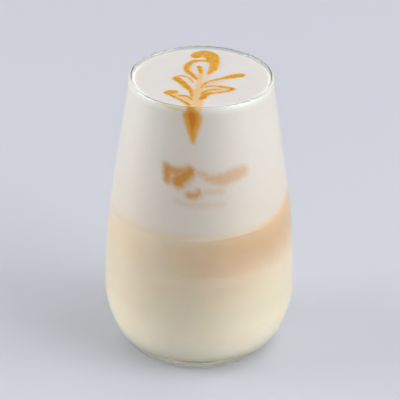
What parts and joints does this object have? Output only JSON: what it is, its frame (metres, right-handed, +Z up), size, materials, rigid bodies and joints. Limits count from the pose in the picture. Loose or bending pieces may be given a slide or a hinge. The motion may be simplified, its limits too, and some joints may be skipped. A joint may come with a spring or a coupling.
{
  "type": "latte",
  "caption": "Layered latte in a clear stemless tumbler: milk, a band of milky coffee and deep milk foam with a leaf figure in caramel sauce.",
  "frame": {"origin": "centre of the glass's foot, on the surface it stands on", "axes": "+Z up, out of the glass's mouth; -Y towards the drinker, at the stem end of the sauce figure; +X to the drinker's right"},
  "size_m": [0.0782, 0.0782, 0.12],
  "materials": {
    "glass": "clear, fire polished",
    "milk": "still liquid, cream white",
    "coffee": "still liquid, milky coffee",
    "foam": "fine milk foam with caramel sauce drawn on it"
  },
  "bodies": {
    "root": {"glass": "glass", "milk_layer": "milk", "coffee_layer": "coffee", "foam_layer": "foam"}
  },
  "joints": []
}
